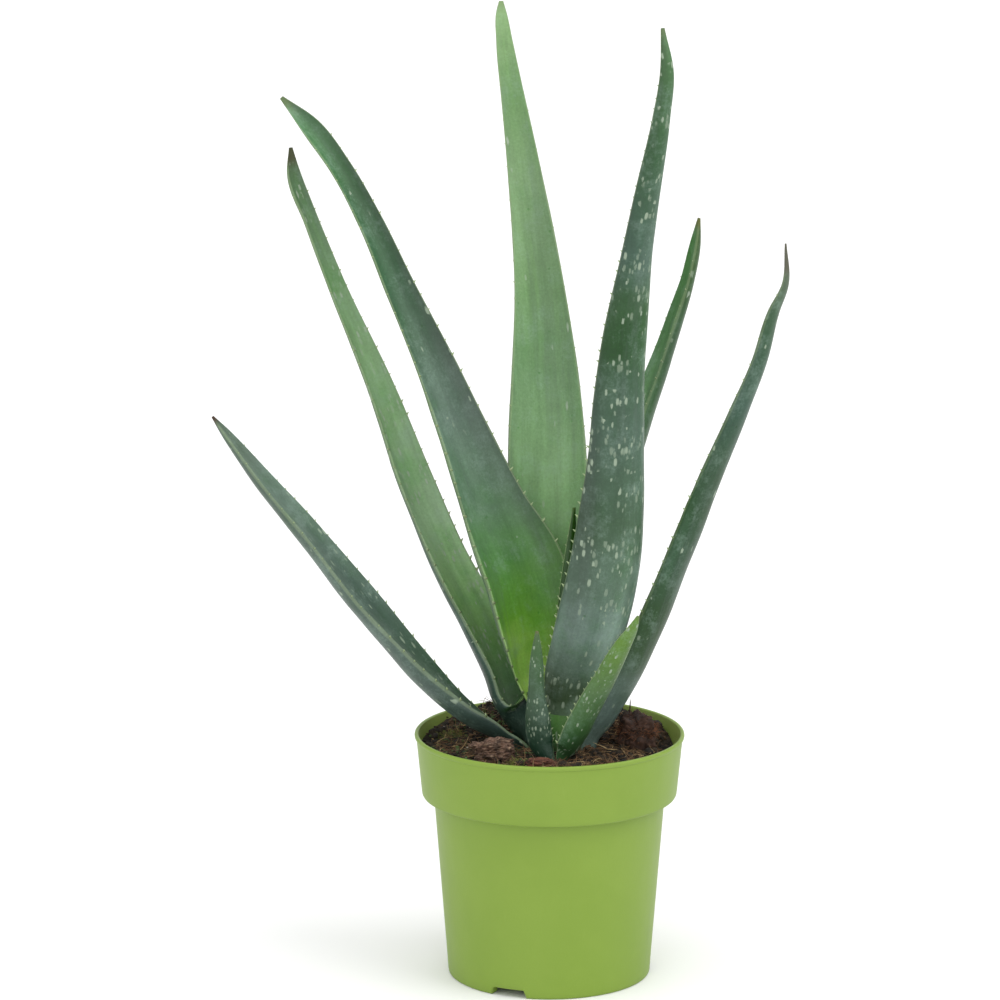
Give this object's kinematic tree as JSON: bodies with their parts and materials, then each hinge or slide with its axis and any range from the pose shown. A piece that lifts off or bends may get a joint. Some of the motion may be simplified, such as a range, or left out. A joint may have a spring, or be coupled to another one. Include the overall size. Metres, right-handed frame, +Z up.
{
  "type": "potted aloe plant",
  "caption": "Upright rosette of thick tapering aloe leaves growing from peaty soil in a round tapered plastic nursery pot with a deep collar.",
  "frame": {"origin": "on the pot's axis, at the plane the pot stands on", "axes": "+Z up along the pot's axis, -Y towards the viewer, +X to the viewer's right"},
  "size_m": [0.2519, 0.1857, 0.4321],
  "materials": {
    "pot_plastic": "satin",
    "soil_peat": "matte",
    "stem_flesh": "matte",
    "leaf_flesh": "satin",
    "offset_flesh": "satin",
    "bark": "matte",
    "peat_fibre": "matte",
    "moss": "matte"
  },
  "bodies": {
    "root": {"pot": "pot_plastic", "soil": "soil_peat", "stem": "stem_flesh", "leaf_low_left": "leaf_flesh", "leaf_left": "leaf_flesh", "leaf_left_centre": "leaf_flesh", "leaf_back": "leaf_flesh", "leaf_front": "leaf_flesh", "leaf_right_centre": "leaf_flesh", "leaf_right": "leaf_flesh", "leaf_heart": "leaf_flesh", "offset_leaf_left": "offset_flesh", "offset_leaf_right": "offset_flesh", "bark_chunk": "bark", "bark_chip": "bark", "peat_clump": "peat_fibre", "root_fibre": "peat_fibre", "moss_tuft_left": "moss", "moss_tuft_front": "moss"}
  },
  "joints": []
}
